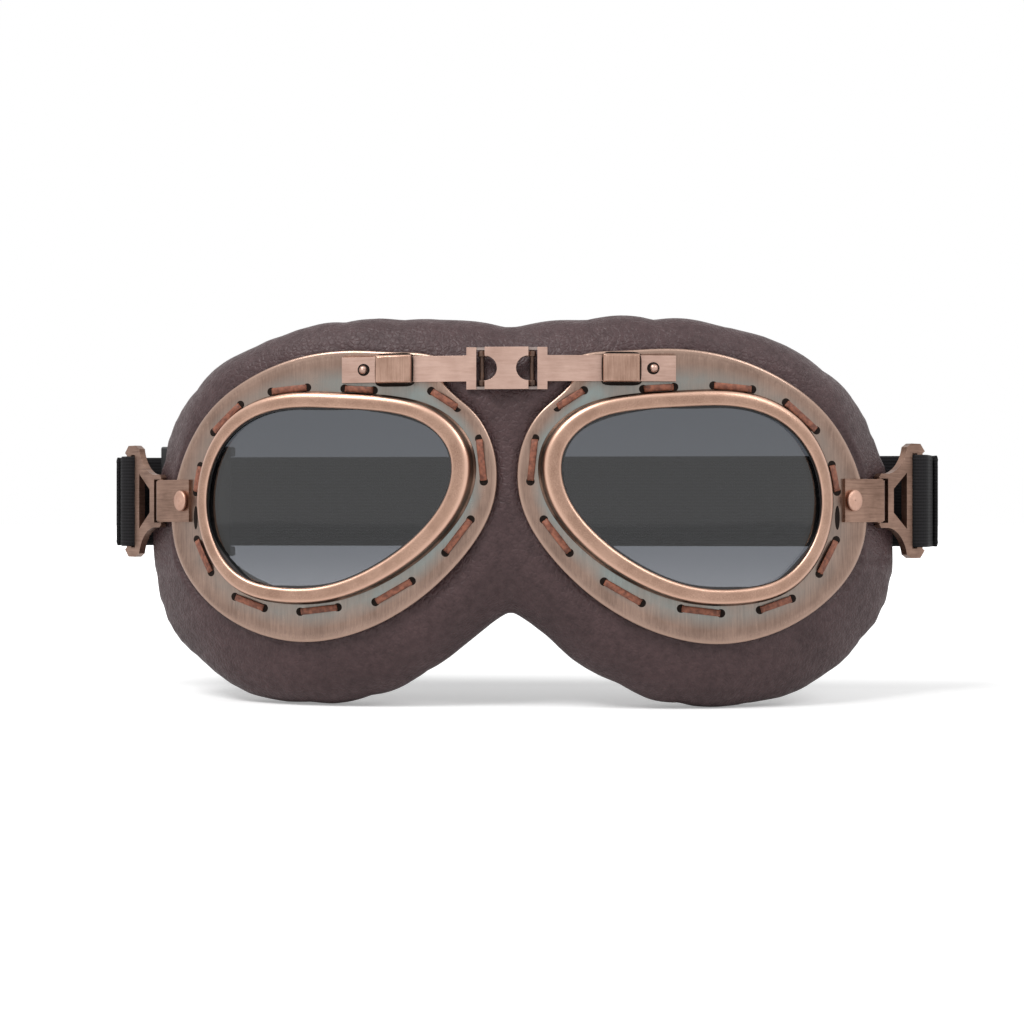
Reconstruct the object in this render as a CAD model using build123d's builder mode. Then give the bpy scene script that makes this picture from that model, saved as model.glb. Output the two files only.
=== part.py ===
from build123d import *
from math import asin, cos, radians, sin, tan
import os

# Aviator flying goggles, seen from the front along +Y, with +X to the viewer's right and +Z up.
# The eyecups face -Y, the leather pad and the strap lie behind them, and the pad stands on z = 0.
# Each piece of the right side has a mirrored twin on the left. Lengths are millimetres.

# Strap, and the steps and clearances that serve several pieces
strap_height = 25.0
strap_thickness = 1.3
overrun = 30.0
outline_steps = 14
soft_gap = 0.3
slip_gap = 0.3

# Wrap of the face: slopes of the flange's front in degrees, from the nose to the temple
nose_slope = 2.0
cheek_slope = 10.0
temple_slope = 20.0
side_slope = 40.0

# Eyecup: the lens opening, and the flange round it
lens_opening_width = 66.0
lens_opening_height = 45.7
flange_inner_x = 2.7
flange_nose_margin = 10.9
flange_side_margin = 13.4
flange_bottom_margin = 14.15
flange_over_arm = 2.15
flange_thickness = 1.0
collar_height = 2.2
collar_wall = 1.0
side_slot_width = 1.0
side_slot_height = 5.5
side_slot_drop = 4.5

# Lens, gasket and bezel ring
lens_thickness = 1.8
lens_edge_hold = 1.0
gasket_wall = 0.7
gasket_show = 0.3
gasket_front_lip = 0.9
gasket_back_lip = 0.9
bezel_band = 3.8
bezel_wall = 1.0
bezel_face = 1.0
bezel_proud = 3.8

# Lacing: how far the holes lie off the bezel
top_gap = 1.5
nose_gap = 4.4
cheek_gap = 2.4
temple_gap = 1.1
thong_width = 1.7
thong_thickness = 0.8
thong_clearance = 0.3

# Clasp over the nose
clasp_hole_gap = 0.2
clasp_sheet = 1.2
arm_height = 6.5
arm_length = 34.7
arm_from_hinge = 1.4
head_width = 2.5
ear_thickness = 0.7
ear_past_hinge = 0.9
ear_depth = 0.85
hinge_from_plate = 0.8
hinge_y = 0.4
hinge_pin_radius = 0.6
hinge_clearance = 0.06
knuckle_radius = 1.1
knuckle_height = 1.3
plate_half_width = 5.5
plate_height = 10.6
plate_front = 1.9
plate_cut_radius = 3.1
block_width = 9.3
block_from_rivet = 3.3
block_height = 7.2
block_proud = 2.3
block_corner = 0.8
arm_rivet_inset = 5.7
arm_rivet_radius = 1.1
arm_rivet_dome = 0.7
arm_rivet_shank = 0.6

# Side lug and buckle
lug_rivet_inset = 3.7
lug_drop = 0.5
lug_inner_reach = 4.2
lug_height = 11.3
lug_sheet = 0.8
lug_bar_reach = 10.2
lug_bar_radius = 0.75
lug_bar_clearance = 0.08
lug_curl_inset = 0.3
lug_rivet_radius = 2.6
lug_rivet_dome = 1.2
lug_rivet_shank = 1.3
buckle_slope = 45.0
buckle_thickness = 1.8
buckle_neck_ear = 1.3
buckle_end_rib = 2.6
buckle_bar_reach = 17.0
buckle_bar_width = 2.4
buckle_rib = 2.4
strap_side_clearance = 0.4
lug_slot_clearance = 0.55
lug_slot_reach = 3.0
trapezoid_short_half = 3.2
trapezoid_tall_half = 7.6
lobe_reach = 2.0

# Leather pad: its middle lies a little outside and above the lens's, and its lobes stand on the floor
pad_side_margin = 9.0
pad_axis_shift = 0.9
pad_axis_rise = 0.5
pad_hole_side_margin = 1.5
pad_hole_end_margin = 1.15
pad_hole_power = 2.6
pad_land = 10.5
pad_rear_nose = 22.0
pad_strap_gap = 7.8
pad_rear_side_inset = 11.0
pad_rim_setback = 6.0
pad_rim_flat = 3.0
pad_rim_flat_extra = 6.0
pad_rear_lip = 1.5
pad_rear_drop = 3.5
leather_thickness = 1.2
nose_half_width = 5.5
nose_front_y = 2.0
nose_round = 6.0

# Strap and slider: the fold lies outside and behind the buckle's bar
fold_out = 4.0
fold_back = 7.66
layer_gap = 0.4
loop_clearance = 0.3
crease_radius = 1.3
crease_clearance = 0.1
crease_wrap_angle = 112.0
slider_from_fold = 20.6
slider_width = 20.0
slider_rail = 2.7
slider_travel = 20.0
slider_bar = 3.6
slider_bar_thickness = 1.3
slider_clearance = 0.3
back_run_tail = 6.0
left_run_tail = 2.0

# Bend radii of the wrap over the lens opening's width, so that a wider lens still ends before the steep side
nose_bend_share = 5.03
cheek_bend_share = 2.15
temple_bend_share = 0.68

# Outlines as shares of the width and height that they follow, for the right eye, and read outwards
lens_outline_shares = [
    (-0.03, 0.500), (0.19, 0.497), (0.345, 0.415), (0.455, 0.24), (0.500, 0.0), (0.46, -0.26),
    (0.35, -0.435), (0.19, -0.498), (0.0, -0.485), (-0.20, -0.372), (-0.39, -0.16), (-0.487, 0.07),
    (-0.487, 0.25), (-0.395, 0.405), (-0.24, 0.475),
]
flange_outline_shares = [
    (0.163, 0.993), (0.40, 1.0), (0.56, 0.985), (0.734, 0.904), (0.887, 0.763), (0.98, 0.561),
    (1.0, 0.42), (0.955, 0.245), (0.861, 0.128), (0.72, 0.035), (0.567, 0.0), (0.41, 0.03),
    (0.245, 0.128), (0.10, 0.285), (0.012, 0.46), (0.004, 0.64), (0.069, 0.791), (0.188, 0.875),
]
# Each thong: where its two holes lie along the lens outline, and which reach they have from it
lacing_pair_shares = [
    (0.633, 0.584, "top"), (0.530, 0.488, "top"), (0.419, 0.389, "nose"), (0.356, 0.319, "nose"),
    (0.279, 0.232, "nose"), (0.178, 0.125, "nose"), (0.078, 0.029, "cheek"), (0.980, 0.942, "cheek"),
    (0.902, 0.859, "cheek"), (0.769, 0.802, "temple"), (0.724, 0.676, "top"),
]
# Reach of the pad's rim from its axis, at even steps of angle from the temple, over the half width there
pad_reach_shares = [
    0.982, 0.944, 0.900, 0.848, 0.837, 0.870, 0.994, 1.240, 1.340,
    1.300, 1.130, 0.985, 0.970, 0.990, 1.026, 1.060, 1.095, 1.060,
]
# How full the leather swells in front of the rim, at the same angles
pad_swell_shares = [
    0.06, 0.25, 0.8, 1.0, 1.0, 1.0, 1.0, 1.0, 1.0, 1.0, 1.0, 1.0, 1.0, 0.95, 0.8, 0.6, 0.35, 0.12,
]
swell_out_share = 0.62
swell_back_share = 0.27
land_side_share = 0.24
rear_crest_share = 0.45
rear_round_share = 0.29
lip_round_share = 0.30
rim_depth_share = 0.55
rim_depth_side_share = 0.23
nose_top_share = 0.8165
nose_notch_share = 0.569
hollow_end_share = 0.45

# Places that follow from the sizes: outwards from the nose, then upwards from the floor
nose_bend_radius = nose_bend_share * lens_opening_width
cheek_bend_radius = cheek_bend_share * lens_opening_width
temple_bend_radius = temple_bend_share * lens_opening_width
eye_centre_x = flange_inner_x + flange_nose_margin + lens_opening_width / 2
flange_outer_x = eye_centre_x + lens_opening_width / 2 + flange_side_margin
pad_half_width = flange_outer_x + pad_side_margin
pad_axis_x = eye_centre_x + pad_axis_shift
pad_reach = pad_half_width - pad_axis_x
pad_axis_z = pad_reach
eye_centre_z = pad_axis_z - pad_axis_rise
lug_rivet_x = flange_outer_x - lug_rivet_inset
lug_rivet_z = eye_centre_z - lug_drop
lacing_hole_radius = (thong_width + thong_clearance) / 2
lacing_reach = {
    "top": bezel_band + top_gap,
    "nose": bezel_band + nose_gap,
    "cheek": bezel_band + cheek_gap,
    "temple": bezel_band + temple_gap,
}
lens_top = eye_centre_z + lens_opening_height / 2
clasp_z = lens_top + lacing_reach["top"] + lacing_hole_radius + clasp_hole_gap + arm_height / 2
flange_top = clasp_z + arm_height / 2 + flange_over_arm
flange_bottom = eye_centre_z - lens_opening_height / 2 - flange_bottom_margin


# Wrap curve: the height y of the flange's front and its slope, from x
bends = [
    (nose_bend_radius, nose_slope, cheek_slope),
    (cheek_bend_radius, cheek_slope, temple_slope),
    (temple_bend_radius, temple_slope, side_slope),
]


def wrap_at(x):
    start_x = 0
    start_y = 0
    for radius, low, high in bends:
        span = radius * (sin(radians(high)) - sin(radians(low)))
        if x < start_x + span:
            slope = asin((x - start_x) / radius + sin(radians(low)))
            return start_y + radius * (cos(radians(low)) - cos(slope)), slope
        start_x += span
        start_y += radius * (cos(radians(low)) - cos(radians(high)))
    slope = radians(side_slope)
    return start_y + (x - start_x) * tan(slope), slope


def wrap_plane(x, z, depth):
    y, slope = wrap_at(x)
    origin = (x - depth * sin(slope), y + depth * cos(slope), z)
    return Plane(origin=origin, x_dir=(cos(slope), sin(slope), 0), z_dir=(sin(slope), -cos(slope), 0))


def wrap_chain(depth):
    slope = radians(nose_slope)
    start = (-depth * sin(slope), depth * cos(slope))
    first = JernArc(start, (cos(slope), sin(slope)), nose_bend_radius - depth, cheek_slope - nose_slope)
    second = JernArc(first @ 1, first % 1, cheek_bend_radius - depth, temple_slope - cheek_slope)
    third = JernArc(second @ 1, second % 1, temple_bend_radius - depth, side_slope - temple_slope)
    last = Line(third @ 1, third @ 1 + (third % 1) * flange_outer_x)
    return first @ 0, last @ 1


def wrap_shell(front, back):
    with BuildPart() as shell:
        with BuildSketch(Plane.XY.offset(-overrun)):
            with BuildLine():
                front_start, front_end = wrap_chain(front)
                back_start, back_end = wrap_chain(back)
                Line(front_start, back_start)
                Line(front_end, back_end)
            make_face()
        extrude(amount=flange_top + 2 * overrun)
    return shell.part


front_plane = Plane.XZ.offset(overrun)
block_depth = pad_half_width + 2 * overrun


def lens_points():
    centre = Vector(eye_centre_x, eye_centre_z)
    return [centre + Vector(u * lens_opening_width, v * lens_opening_height) for u, v in lens_outline_shares]


def lens_outline(grow=0):
    points = lens_points()
    lowest = min(range(len(points)), key=lambda index: points[index].Y)
    with BuildLine(mode=Mode.PRIVATE):
        temple_half = Spline(*points[: lowest + 1], tangents=[(1, 0), (-1, 0)])
        nose_half = Spline(*points[lowest:], points[0], tangents=[(-1, 0), (1, 0)])
    for half, start, end in ((temple_half, 1, -1), (nose_half, -1, 1)):
        moved = []
        for step in range(outline_steps + 1):
            share = step / outline_steps
            along = half % share
            moved.append(half @ share + Vector(-along.Y, along.X) * grow)
        Spline(*moved, tangents=[(start, 0), (end, 0)])


def flange_points():
    width = flange_outer_x - flange_inner_x
    height = flange_top - flange_bottom
    corner = Vector(flange_inner_x, flange_bottom)
    return [corner + Vector(u * width, v * height) for u, v in flange_outline_shares]


def eye_prism(grow):
    with BuildPart() as prism:
        with BuildSketch(front_plane):
            with BuildLine():
                lens_outline(grow)
            make_face()
        extrude(amount=-block_depth)
    return prism.part


def eye_band(outer, inner, front, back):
    with BuildPart() as band:
        add(eye_prism(outer))
        if inner is not None:
            add(eye_prism(inner), mode=Mode.SUBTRACT)
        add(wrap_shell(front, back), mode=Mode.INTERSECT)
    return band.part


# Lacing: holes through the flange, and the flat thongs that lie between the holes of each pair
def lacing_pairs():
    with BuildLine() as outline:
        lens_outline()
    rim = outline.wire()
    pairs = []
    for first, second, zone in lacing_pair_shares:
        ends = []
        for share in (first, second):
            along = rim.tangent_at(share)
            ends.append(rim.position_at(share) + Vector(-along.Y, along.X) * lacing_reach[zone])
        pairs.append(ends)
    return pairs


def hole_prism(radius):
    with BuildPart() as holes:
        with BuildSketch(front_plane):
            for first, second in lacing_pairs():
                with Locations(first, second):
                    Circle(radius)
        extrude(amount=-block_depth)
    return holes.part


def thong_prism():
    with BuildPart() as thongs:
        with BuildSketch(front_plane):
            for first, second in lacing_pairs():
                SlotCenterPoint((first + second) / 2, second, thong_width)
        extrude(amount=-block_depth)
    return thongs.part


with BuildPart() as lacing:
    add(thong_prism())
    add(wrap_shell(-thong_thickness, 0), mode=Mode.INTERSECT)
    with BuildPart(mode=Mode.PRIVATE) as pegs:
        add(hole_prism(thong_width / 2))
        add(wrap_shell(-thong_thickness / 2, flange_thickness), mode=Mode.INTERSECT)
    add(pegs.part)


# Clasp over the nose: sheet arms with a T head, hinge pins, keeper blocks and the centre plate
def clasp_bar(low_x, high_x, height, front, back):
    with BuildPart() as bar:
        with BuildSketch(front_plane):
            with Locations(((low_x + high_x) / 2, clasp_z)):
                Rectangle(high_x - low_x, height)
        extrude(amount=-block_depth)
        add(wrap_shell(front, back), mode=Mode.INTERSECT)
    return bar.part


def post(x, y, radius, low_z, high_z):
    with BuildPart() as rod:
        with BuildSketch(Plane.XY.offset(low_z)):
            with Locations((x, y)):
                Circle(radius)
        extrude(amount=high_z - low_z)
    return rod.part


def shank(plane, radius, front, back):
    with BuildPart() as rod:
        with BuildSketch(plane.offset(front)):
            Circle(radius)
        extrude(amount=-(front + back))
    return rod.part


def domed_rivet(plane, head_radius, dome, seat, shank_radius, back):
    sphere_radius = (head_radius ** 2 + dome ** 2) / (2 * dome)
    with BuildPart() as rivet:
        with BuildSketch(Plane(origin=plane.origin, x_dir=plane.x_dir, z_dir=-plane.y_dir)):
            with BuildLine():
                rise = Line((0, -back), (0, seat + dome))
                RadiusArc(rise @ 1, (head_radius, seat), sphere_radius)
                Polyline((head_radius, seat), (shank_radius, seat), (shank_radius, -back), (0, -back))
            make_face()
        revolve(axis=Axis(plane.origin, plane.z_dir))
    return rivet.part


hinge_x = plate_half_width + hinge_from_plate
ear_inner_x = hinge_x - ear_past_hinge
arm_inner_x = hinge_x + arm_from_hinge
arm_outer_x = arm_inner_x + arm_length
arm_rivet_x = arm_outer_x - arm_rivet_inset
block_outer_x = arm_rivet_x - block_from_rivet
head_half = plate_height / 2
arm_rivet_plane = wrap_plane(arm_rivet_x, clasp_z, 0)
arm_rivet_hole = shank(arm_rivet_plane, arm_rivet_shank, clasp_sheet + overrun, flange_thickness + overrun)
hinge_pin = post(hinge_x, hinge_y, hinge_pin_radius, clasp_z - head_half, clasp_z + head_half)

with BuildPart() as bridge_arm:
    add(clasp_bar(arm_inner_x, arm_outer_x, arm_height, -clasp_sheet, 0))
    add(clasp_bar(arm_inner_x, arm_inner_x + head_width, plate_height, -clasp_sheet, 0))
    for side in (-1, 1):
        ear_z = clasp_z + side * (head_half - ear_thickness / 2)
        with BuildSketch(Plane.XY.offset(ear_z - ear_thickness / 2)):
            with Locations((ear_inner_x, hinge_y - ear_depth)):
                Rectangle(
                    arm_inner_x + head_width / 2 - ear_inner_x,
                    2 * ear_depth,
                    align=(Align.MIN, Align.MIN),
                )
        extrude(amount=ear_thickness)
    add(hinge_pin, mode=Mode.SUBTRACT)
    add(arm_rivet_hole, mode=Mode.SUBTRACT)

with BuildPart() as keeper_block:
    block_back = -clasp_sheet
    add(
        clasp_bar(
            block_outer_x - block_width,
            block_outer_x,
            block_height,
            block_back - block_proud,
            block_back,
        )
    )
    fillet(keeper_block.faces().sort_by(Axis.Y)[0].edges(), radius=block_corner)

arm_rivet = domed_rivet(
    arm_rivet_plane, arm_rivet_radius, arm_rivet_dome, clasp_sheet, arm_rivet_shank, flange_thickness
)

plate_back_y = -plate_front + clasp_sheet
with BuildPart() as bridge_plate:
    with BuildSketch(Plane.XZ.offset(plate_front)):
        with Locations((0, clasp_z)):
            Rectangle(2 * plate_half_width, plate_height)
        with Locations((-plate_half_width, clasp_z), (plate_half_width, clasp_z)):
            Circle(plate_cut_radius, mode=Mode.SUBTRACT)
    extrude(amount=-clasp_sheet)
    for side in (-1, 1):
        for end in (-1, 1):
            knuckle_mid = clasp_z + end * (head_half - ear_thickness - slip_gap - knuckle_height / 2)
            with BuildSketch(Plane.XY.offset(knuckle_mid - knuckle_height / 2)):
                with Locations((side * hinge_x, hinge_y)):
                    Circle(knuckle_radius)
                with Locations((side * (plate_half_width - knuckle_radius / 2), hinge_y)):
                    Rectangle(
                        knuckle_radius,
                        2 * (hinge_y - plate_back_y),
                        align=(Align.CENTER, Align.CENTER),
                    )
                with Locations((side * hinge_x, hinge_y)):
                    Circle(hinge_pin_radius + hinge_clearance, mode=Mode.SUBTRACT)
            extrude(amount=knuckle_height)

# Eyecup: the pressed flange with the collar that holds the lens
side_plane = wrap_plane(lug_rivet_x, lug_rivet_z, 0)
lug_rivet_hole = shank(side_plane, lug_rivet_shank, overrun, overrun)
collar_inner = lens_edge_hold + gasket_wall

with BuildPart() as eyecup:
    with BuildSketch(front_plane):
        with BuildLine():
            edge = Spline(*flange_points())
            Line(edge @ 1, edge @ 0)
        make_face()
    extrude(amount=-block_depth)
    add(wrap_shell(0, flange_thickness), mode=Mode.INTERSECT)
    add(eye_prism(collar_inner), mode=Mode.SUBTRACT)
    add(eye_band(collar_inner + collar_wall, collar_inner, -collar_height, flange_thickness))
    add(hole_prism(lacing_hole_radius), mode=Mode.SUBTRACT)
    add(arm_rivet_hole, mode=Mode.SUBTRACT)
    add(lug_rivet_hole, mode=Mode.SUBTRACT)
    with BuildSketch(front_plane):
        slot_x = eye_centre_x + lens_opening_width / 2 + lacing_reach["temple"]
        with Locations((slot_x, lug_rivet_z - side_slot_drop)):
            Rectangle(side_slot_width, side_slot_height)
    extrude(amount=-block_depth, mode=Mode.SUBTRACT)

# Bezel ring: the front band and the wall that stands on the flange
with BuildPart() as bezel:
    add(eye_band(bezel_band, 0, -bezel_proud, -bezel_proud + bezel_face))
    add(eye_band(bezel_band, bezel_band - bezel_wall, -bezel_proud + bezel_face, 0))

# Lens and the rubber gasket that holds its edge
gasket_front = -bezel_proud + bezel_face
lens_front = gasket_front + gasket_front_lip
lens_back = lens_front + lens_thickness
lens = eye_band(lens_edge_hold, None, lens_front, lens_back)

with BuildPart() as gasket:
    add(eye_band(collar_inner, -gasket_show, gasket_front, lens_back + gasket_back_lip))
    add(lens, mode=Mode.SUBTRACT)

# Side lug: a sheet riveted on the flange and curled round the buckle's bar
curl_outer = lug_bar_radius + lug_bar_clearance + lug_sheet
bar_point = side_plane.from_local_coords(Vector(lug_bar_reach, 0, lug_sheet - curl_outer))
lug_front = side_plane.offset(lug_sheet)
curl_half = lug_height / 2 - lug_curl_inset

with BuildPart() as lug:
    with BuildSketch(lug_front):
        with Locations(((lug_bar_reach - lug_inner_reach) / 2, 0)):
            Rectangle(lug_bar_reach + lug_inner_reach, lug_height)
    extrude(amount=-lug_sheet)
    add(post(bar_point.X, bar_point.Y, curl_outer, lug_rivet_z - curl_half, lug_rivet_z + curl_half))
    curl_bore = lug_bar_radius + lug_bar_clearance
    add(
        post(bar_point.X, bar_point.Y, curl_bore, lug_rivet_z - lug_height, lug_rivet_z + lug_height),
        mode=Mode.SUBTRACT,
    )
    add(lug_rivet_hole, mode=Mode.SUBTRACT)

lug_rivet = domed_rivet(
    side_plane, lug_rivet_radius, lug_rivet_dome, lug_sheet, lug_rivet_shank, flange_thickness
)

# Buckle: a wishbone plate that swings on the lug, with a slot for the strap
slope = radians(buckle_slope)
buckle_plane = Plane(
    origin=(bar_point.X, bar_point.Y, lug_rivet_z),
    x_dir=(cos(slope), sin(slope), 0),
    z_dir=(sin(slope), -cos(slope), 0),
)
lug_slot_half = curl_half + lug_slot_clearance
neck_half = lug_slot_half + buckle_neck_ear
buckle_slot_half = strap_height / 2 + strap_side_clearance
wide_half = buckle_slot_half + buckle_end_rib
slot_outer = buckle_bar_reach - buckle_bar_width / 2
loop_inner = (buckle_bar_width ** 2 + buckle_thickness ** 2) ** 0.5 / 2 + loop_clearance
loop_outer = loop_inner + strap_thickness
slot_inner = buckle_bar_reach - loop_outer - slip_gap
trapezoid_outer = slot_inner - buckle_rib
trapezoid_inner = lug_slot_reach + buckle_rib
plate_end = buckle_bar_reach + buckle_bar_width / 2
lobe_start = trapezoid_outer
bar = Vector(bar_point.X + buckle_bar_reach * cos(slope), bar_point.Y + buckle_bar_reach * sin(slope))

with BuildPart() as buckle:
    with BuildSketch(buckle_plane):
        with BuildLine() as half_outline:
            Line((-lug_bar_radius, 0), (-lug_bar_radius, neck_half - lug_bar_radius))
            Line((-lug_bar_radius, neck_half - lug_bar_radius), (0, neck_half))
            Line((0, neck_half), (lug_slot_reach, neck_half))
            waist = (
                (lug_slot_reach + lobe_start) / 2 + lobe_reach / 2,
                (neck_half + wide_half) / 2 - lobe_reach,
            )
            ThreePointArc((lug_slot_reach, neck_half), waist, (lobe_start, wide_half - lobe_reach / 2))
            Line((lobe_start, wide_half - lobe_reach / 2), (lobe_start + lobe_reach, wide_half))
            Line((lobe_start + lobe_reach, wide_half), (plate_end - lobe_reach / 2, wide_half))
            Line(
                (plate_end - lobe_reach / 2, wide_half),
                (plate_end + lobe_reach / 2, wide_half - lobe_reach),
            )
            Line((plate_end + lobe_reach / 2, wide_half - lobe_reach), (plate_end, buckle_slot_half))
            Line((plate_end, buckle_slot_half), (plate_end, 0))
            mirror(about=Plane.XZ)
        make_face()
        with Locations(((slot_inner + slot_outer) / 2, 0)):
            Rectangle(slot_outer - slot_inner, 2 * buckle_slot_half, mode=Mode.SUBTRACT)
        with BuildLine():
            Polyline(
                (trapezoid_inner, -trapezoid_short_half),
                (trapezoid_inner, trapezoid_short_half),
                (trapezoid_outer, trapezoid_tall_half),
                (trapezoid_outer, -trapezoid_tall_half),
                close=True,
            )
        make_face(mode=Mode.SUBTRACT)
        with Locations((lug_slot_reach / 2 - lug_bar_radius, 0)):
            Rectangle(lug_slot_reach + 2 * lug_bar_radius, 2 * lug_slot_half, mode=Mode.SUBTRACT)
    extrude(amount=buckle_thickness / 2, both=True)
    add(
        post(
            bar_point.X,
            bar_point.Y,
            lug_bar_radius,
            lug_rivet_z - lug_slot_half,
            lug_rivet_z + lug_slot_half,
        )
    )

# Leather pad: sections fanned round each eye, each with a flat rim, a swelled front and a rear crest
fan_count = len(pad_reach_shares)
fan_step = 360 / fan_count
pad_hole_half_width = lens_opening_width / 2 + pad_hole_side_margin
pad_hole_half_height = lens_opening_height / 2 + pad_hole_end_margin
strap_front_y = bar.Y + fold_back
pad_rear_side = strap_front_y - pad_strap_gap
pad_rear_side_x = pad_half_width - pad_rear_side_inset


def rear_at(x):
    rise = pad_rear_side - pad_rear_nose
    return pad_rear_nose + rise * (x / pad_rear_side_x) ** 2


def front_at(x):
    y, slope_here = wrap_at(max(x, 0))
    return y + (flange_thickness + soft_gap) / cos(slope_here)


def pad_points(index):
    angle = radians(index * fan_step)
    share = pad_reach_shares[index % fan_count]
    side = cos(angle) ** 2
    rim = share * pad_reach
    across = (abs(cos(angle)) / pad_hole_half_width) ** pad_hole_power
    up = (abs(sin(angle)) / pad_hole_half_height) ** pad_hole_power
    hole = (across + up) ** (-1 / pad_hole_power)
    land = hole + pad_land * (1 - land_side_share * side)
    crest = rim - rear_crest_share * (rim - hole)

    def x_at(reach):
        return pad_axis_x + reach * cos(angle)

    inset_x = x_at(rim - pad_rim_setback)
    depth_share = rim_depth_share + rim_depth_side_share * side
    rim_y = front_at(inset_x) + depth_share * (rear_at(inset_x) - front_at(inset_x))
    flat = (pad_rim_flat + pad_rim_flat_extra * (1 - side)) / 2
    inner = Vector(hole, front_at(x_at(hole)))
    leave = Vector(land, front_at(x_at(land)))
    rim_front = Vector(rim, rim_y - flat)
    rim_back = Vector(rim, rim_y + flat)
    top = Vector(crest, rear_at(x_at(crest)))
    lip = Vector(hole + pad_rear_lip, rear_at(x_at(hole)) - pad_rear_drop)
    run = rim_front - leave
    swelled = leave + Vector(run.X * swell_out_share, run.Y * swell_back_share)
    swell_share = pad_swell_shares[index % fan_count]
    swell = (leave + rim_front) / 2 * (1 - swell_share) + swelled * swell_share
    back = top - rim_back
    shoulder = rim_back + Vector(back.X * rear_round_share, back.Y * (1 - rear_round_share))
    fall = lip - top
    roll = top + Vector(fall.X * (1 - rear_round_share), fall.Y * lip_round_share)
    return [inner, leave, swell, rim_front, rim_back, shoulder, top, roll, lip]


def pad_solid(start, stop, inset):
    with BuildPart() as body:
        for index in range(start, stop + 1):
            points = pad_points(index)
            width = points[3].X - points[0].X
            height = points[6].Y - points[0].Y
            middle = (points[0] + points[3] + points[4] + points[8]) / 4
            across = 1 - 2 * inset / width
            deep = 1 - 2 * inset / height
            moved = [middle + Vector((p - middle).X * across, (p - middle).Y * deep) for p in points]
            inner, leave, swell, rim_front, rim_back, shoulder, top, roll, lip = moved
            angle = radians(index * fan_step)
            plane = Plane(
                origin=(pad_axis_x, 0, pad_axis_z),
                x_dir=(cos(angle), 0, sin(angle)),
                z_dir=(-sin(angle), 0, cos(angle)),
            )
            with BuildSketch(plane):
                with BuildLine():
                    Line(inner, leave)
                    ThreePointArc(leave, swell, rim_front)
                    Line(rim_front, rim_back)
                    ThreePointArc(rim_back, shoulder, top)
                    ThreePointArc(top, roll, lip)
                    Line(lip, inner)
                make_face()
        loft()
    return body.part


def pad_half(inset):
    half_turn = fan_count // 2
    sectors = []
    for start in (0, half_turn):
        with BuildPart() as sector:
            add(pad_solid(start, start + half_turn, inset))
            split(bisect_by=Plane.YZ.offset(nose_half_width + inset), keep=Keep.TOP)
            split(bisect_by=Plane.XY.offset(inset), keep=Keep.TOP)
        sectors.append(sector.part)
    with BuildPart() as half:
        add(sectors)
    return half.part


pad_foam = pad_half(leather_thickness)
with BuildPart() as pad_cover:
    add(pad_half(0))
    add(pad_foam, mode=Mode.SUBTRACT)

nose_top_z = pad_axis_z + nose_top_share * pad_reach
nose_notch_z = pad_axis_z - nose_notch_share * pad_reach
with BuildPart() as nose_pad:
    with BuildSketch(Plane.YZ.offset(-nose_half_width)):
        with BuildLine():
            low = Line((nose_front_y, nose_notch_z + nose_round), (nose_front_y, nose_top_z - nose_round))
            Line(low @ 1, (nose_front_y + nose_round, nose_top_z))
            Line((nose_front_y + nose_round, nose_top_z), (pad_rear_nose - nose_round, nose_top_z))
            Line((pad_rear_nose - nose_round, nose_top_z), (pad_rear_nose, nose_top_z - nose_round))
            Line((pad_rear_nose, nose_top_z - nose_round), (pad_rear_nose, nose_notch_z + nose_round))
            Line((pad_rear_nose, nose_notch_z + nose_round), (pad_rear_nose - nose_round, nose_notch_z))
            Line((pad_rear_nose - nose_round, nose_notch_z), (nose_front_y + nose_round, nose_notch_z))
            Line((nose_front_y + nose_round, nose_notch_z), low @ 0)
        make_face()
    extrude(amount=2 * nose_half_width)

# Strap: a loop round each buckle's outer bar, the run behind the pad and the short left run
crease_x = bar.X + fold_out
slider_x = slider_from_fold - crease_x
strap_low = Plane.XY.offset(lug_rivet_z - strap_height / 2)
left_run_y = strap_front_y + strap_thickness + layer_gap


def strap_loop(run_y):
    crease = Vector(crease_x, run_y - crease_radius - crease_clearance)
    hollow_end = bar + (crease - bar) * hollow_end_share
    with BuildPart() as hollow:
        with BuildSketch(strap_low):
            with Locations(bar):
                Circle(loop_inner)
            with Locations(hollow_end):
                Circle(loop_clearance)
            make_hull()
        extrude(amount=strap_height)
    with BuildPart() as loop:
        with BuildSketch(strap_low):
            with Locations(bar):
                Circle(loop_outer)
            with Locations(crease):
                Circle(crease_radius)
            make_hull()
        extrude(amount=strap_height)
        add(hollow.part, mode=Mode.SUBTRACT)
    return loop.part


def strap_run(run_y, end_x):
    crease = Vector(crease_x, run_y - crease_radius - crease_clearance)
    inner_radius = crease_radius + crease_clearance
    outer_radius = inner_radius + strap_thickness
    start = 90 - crease_wrap_angle
    with BuildPart() as run:
        with BuildSketch(strap_low):
            with BuildLine():
                outer = CenterArc(crease, outer_radius, start, crease_wrap_angle)
                inner = CenterArc(crease, inner_radius, start, crease_wrap_angle)
                Line(outer @ 0, inner @ 0)
                Line(outer @ 1, (end_x, run_y + strap_thickness))
                Line((end_x, run_y + strap_thickness), (end_x, run_y))
                Line((end_x, run_y), inner @ 1)
            make_face()
        extrude(amount=strap_height)
    return run.part


strap_back = strap_run(strap_front_y, slider_x - back_run_tail)
right_strap_loop = strap_loop(strap_front_y)

with BuildPart() as left_strap:
    add(strap_run(left_run_y, -(slider_x + slider_width / 2 + slider_travel + left_run_tail)))
    mirror(about=Plane.YZ, mode=Mode.REPLACE)

with BuildPart() as left_strap_loop:
    add(strap_loop(left_run_y))
    mirror(about=Plane.YZ, mode=Mode.REPLACE)

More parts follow.
